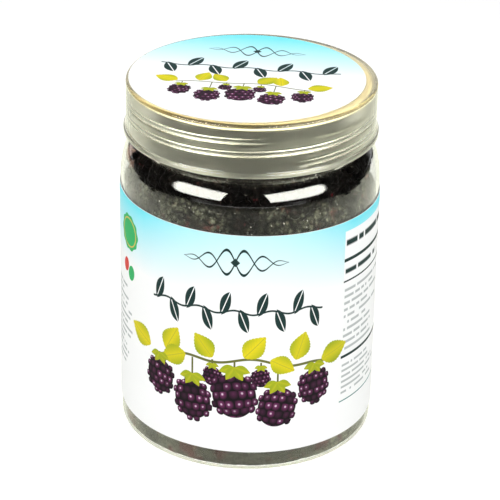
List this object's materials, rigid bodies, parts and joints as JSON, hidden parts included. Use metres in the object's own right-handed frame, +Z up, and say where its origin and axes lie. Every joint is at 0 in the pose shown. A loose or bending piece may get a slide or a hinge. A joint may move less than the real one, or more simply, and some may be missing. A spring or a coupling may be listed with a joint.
{
  "type": "jar of dried bramble berries",
  "caption": "Round clear plastic jar packed with dried bramble berries, closed by a clear screw lid, with a paper label round its body and a round one on the lid.",
  "frame": {"origin": "middle of the standing ring, on the surface that the jar stands on", "axes": "+Z up along the jar's axis and the screw's axis, -Y towards the front of the label, +X to its right"},
  "size_m": [0.1, 0.1, 0.1433],
  "materials": {
    "clear_jar": "clear blown plastic, polished",
    "clear_lid": "clear moulded plastic with a faint warm tint",
    "liner_foam": "pale smooth foam",
    "label_paper": "coated white paper, printed, with a slight gloss",
    "dried_fruit": "dark, wrinkled and slightly sticky skin"
  },
  "bodies": {
    "jar": {"jar_body": "clear_jar", "wrap_label": "label_paper", "dried_berries": "dried_fruit"},
    "liner": {"lid_liner": "liner_foam"},
    "lid": {"lid_shell": "clear_lid", "lid_label": "label_paper"}
  },
  "joints": [
    {"name": "lid_rise", "type": "slide", "parent": "jar", "child": "liner", "axis": [0, 0, 1], "range_m": [0, 0.01016]},
    {"name": "lid_turn", "type": "hinge", "parent": "liner", "child": "lid", "pos_m": [0, 0, 0.13], "axis": [0, 0, 1], "range_deg": [0, 720]}
  ],
  "couplings": [
    {"joint": "lid_rise", "follows": "lid_turn", "m_per_rad": 0.00080851}
  ]
}
